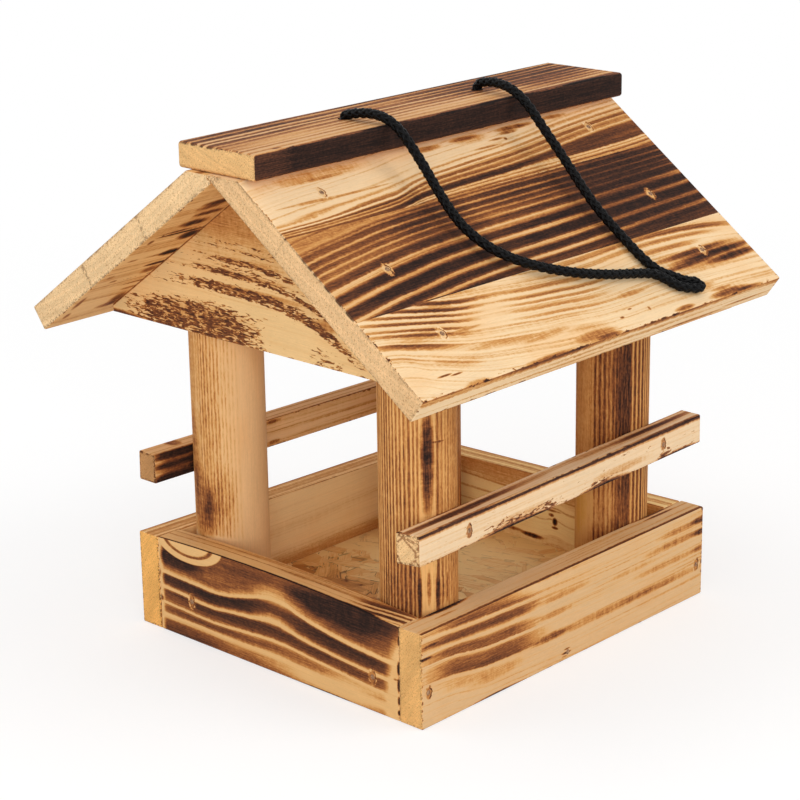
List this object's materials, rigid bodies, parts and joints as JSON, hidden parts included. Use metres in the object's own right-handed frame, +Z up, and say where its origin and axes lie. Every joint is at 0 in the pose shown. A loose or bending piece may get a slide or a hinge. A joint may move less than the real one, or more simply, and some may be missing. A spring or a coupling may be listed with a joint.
{
  "type": "wooden bird feeder",
  "caption": "Open wooden feeding tray on round posts under a gabled board roof with a ridge cap and a rope hanging loop.",
  "frame": {"origin": "middle of the tray's underside, which is the face the feeder stands on", "axes": "+Z up, X along the roof ridge with the left gable at -X, -Y towards the front slope that the rope lies on"},
  "size_m": [0.308, 0.3035, 0.3182],
  "materials": {
    "scorched_pine": "sawn pine, surface torched so that the grain is dark brown",
    "strand_board": "pressed wood strands, raw",
    "nail_steel": "dulled steel heads",
    "dowel_beech": "smooth beech",
    "black_rope": "braided cord, matt with a faint sheen"
  },
  "bodies": {
    "root": {"tray_side_front": "scorched_pine", "tray_side_back": "scorched_pine", "tray_end_left": "scorched_pine", "tray_end_right": "scorched_pine", "floor_panel": "strand_board", "post_front_left": "scorched_pine", "post_front_right": "scorched_pine", "post_back_left": "scorched_pine", "post_back_right": "scorched_pine", "perch_rail_front": "scorched_pine", "perch_rail_back": "scorched_pine", "gable_left": "scorched_pine", "gable_right": "scorched_pine", "roof_front_upper": "scorched_pine", "roof_front_middle": "scorched_pine", "roof_front_lower": "scorched_pine", "roof_back_upper": "scorched_pine", "roof_back_middle": "scorched_pine", "roof_back_lower": "scorched_pine", "ridge_cap": "scorched_pine", "hanging_rope": "black_rope", "rope_knot_left": "black_rope", "rope_knot_right": "black_rope", "tray_nails": "nail_steel", "floor_nails": "nail_steel", "perch_nails": "nail_steel", "roof_nails": "nail_steel", "post_dowels": "dowel_beech"}
  },
  "joints": []
}
